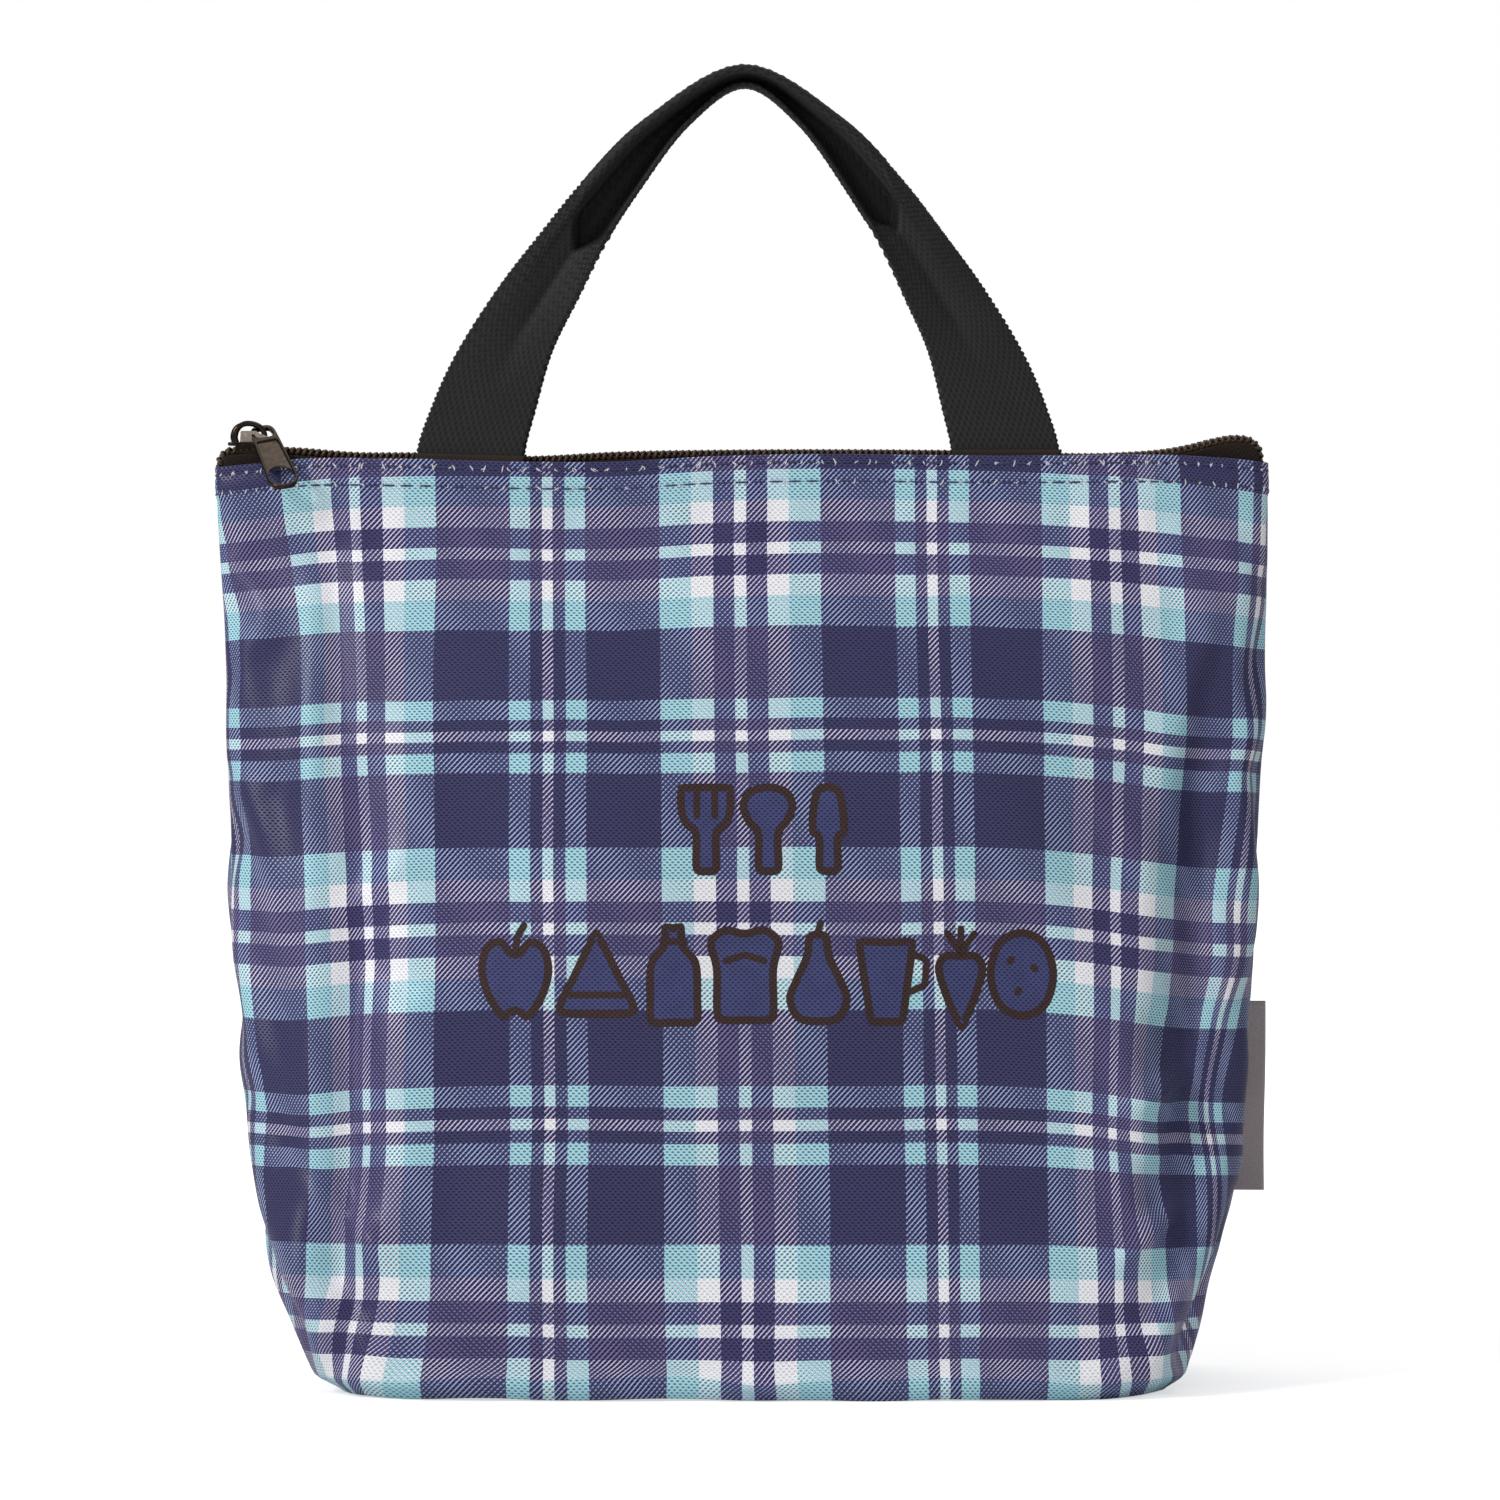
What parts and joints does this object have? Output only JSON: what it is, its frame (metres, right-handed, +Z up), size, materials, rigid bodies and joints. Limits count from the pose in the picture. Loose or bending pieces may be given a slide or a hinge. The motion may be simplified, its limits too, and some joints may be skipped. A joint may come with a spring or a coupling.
{
  "type": "lunch box",
  "caption": "Soft insulated lunch tote with a wide flat base, a straight top zip and two upright webbing handles.",
  "frame": {"origin": "middle of the base, on the floor", "axes": "+Z up, front panel towards -Y, zip along X with its closed end towards -X"},
  "size_m": [0.2578, 0.1, 0.3238],
  "materials": {
    "plaid_fabric": "woven polyester in a navy, violet, aqua and white check",
    "foam": "closed-cell foam",
    "lining_film": "wipe-clean film",
    "seam_binding": "woven tape",
    "label_weave": "woven satin",
    "zip_tape": "herringbone tape",
    "zip_coil": "nylon coil",
    "webbing": "coarse black webbing",
    "foot_tape": "woven tape",
    "gunmetal": "dark gunmetal plating"
  },
  "bodies": {
    "bag": {"front_panel": "plaid_fabric", "rear_panel": "plaid_fabric", "front_foam": "foam", "rear_foam": "foam", "front_lining": "lining_film", "rear_lining": "lining_film", "left_seam_binding": "seam_binding", "right_seam_binding": "seam_binding", "side_label": "label_weave", "front_zip_tape": "zip_tape", "rear_zip_tape": "zip_tape", "front_zip_coil": "zip_coil", "rear_zip_coil": "zip_coil", "front_left_strap_end": "webbing", "front_right_strap_end": "webbing", "rear_left_strap_end": "webbing", "rear_right_strap_end": "webbing", "front_left_strap_foot_tape": "foot_tape", "front_right_strap_foot_tape": "foot_tape", "rear_left_strap_foot_tape": "foot_tape", "rear_right_strap_foot_tape": "foot_tape"},
    "front_handle": {"front_handle_strap": "webbing"},
    "rear_handle": {"rear_handle_strap": "webbing"},
    "zip_slider": {"slider_body": "gunmetal"},
    "puller": {"zip_puller": "gunmetal"}
  },
  "joints": [
    {"name": "front_handle_fold", "type": "hinge", "parent": "bag", "child": "front_handle", "pos_m": [0, -0.0052, 0.228], "axis": [1, 0, 0], "range_deg": [0, 132], "stiffness_Nm_per_rad": 0.02},
    {"name": "rear_handle_fold", "type": "hinge", "parent": "bag", "child": "rear_handle", "pos_m": [0, 0.0052, 0.228], "axis": [-1, 0, 0], "range_deg": [0, 132], "stiffness_Nm_per_rad": 0.02},
    {"name": "zip_slide", "type": "slide", "parent": "bag", "child": "zip_slider", "axis": [1, 0, 0], "range_m": [0, 0.208]},
    {"name": "puller_lift", "type": "hinge", "parent": "zip_slider", "child": "puller", "pos_m": [-0.1166, 0, 0.2344], "axis": [-1, 0, 0], "range_deg": [0, 50]}
  ]
}
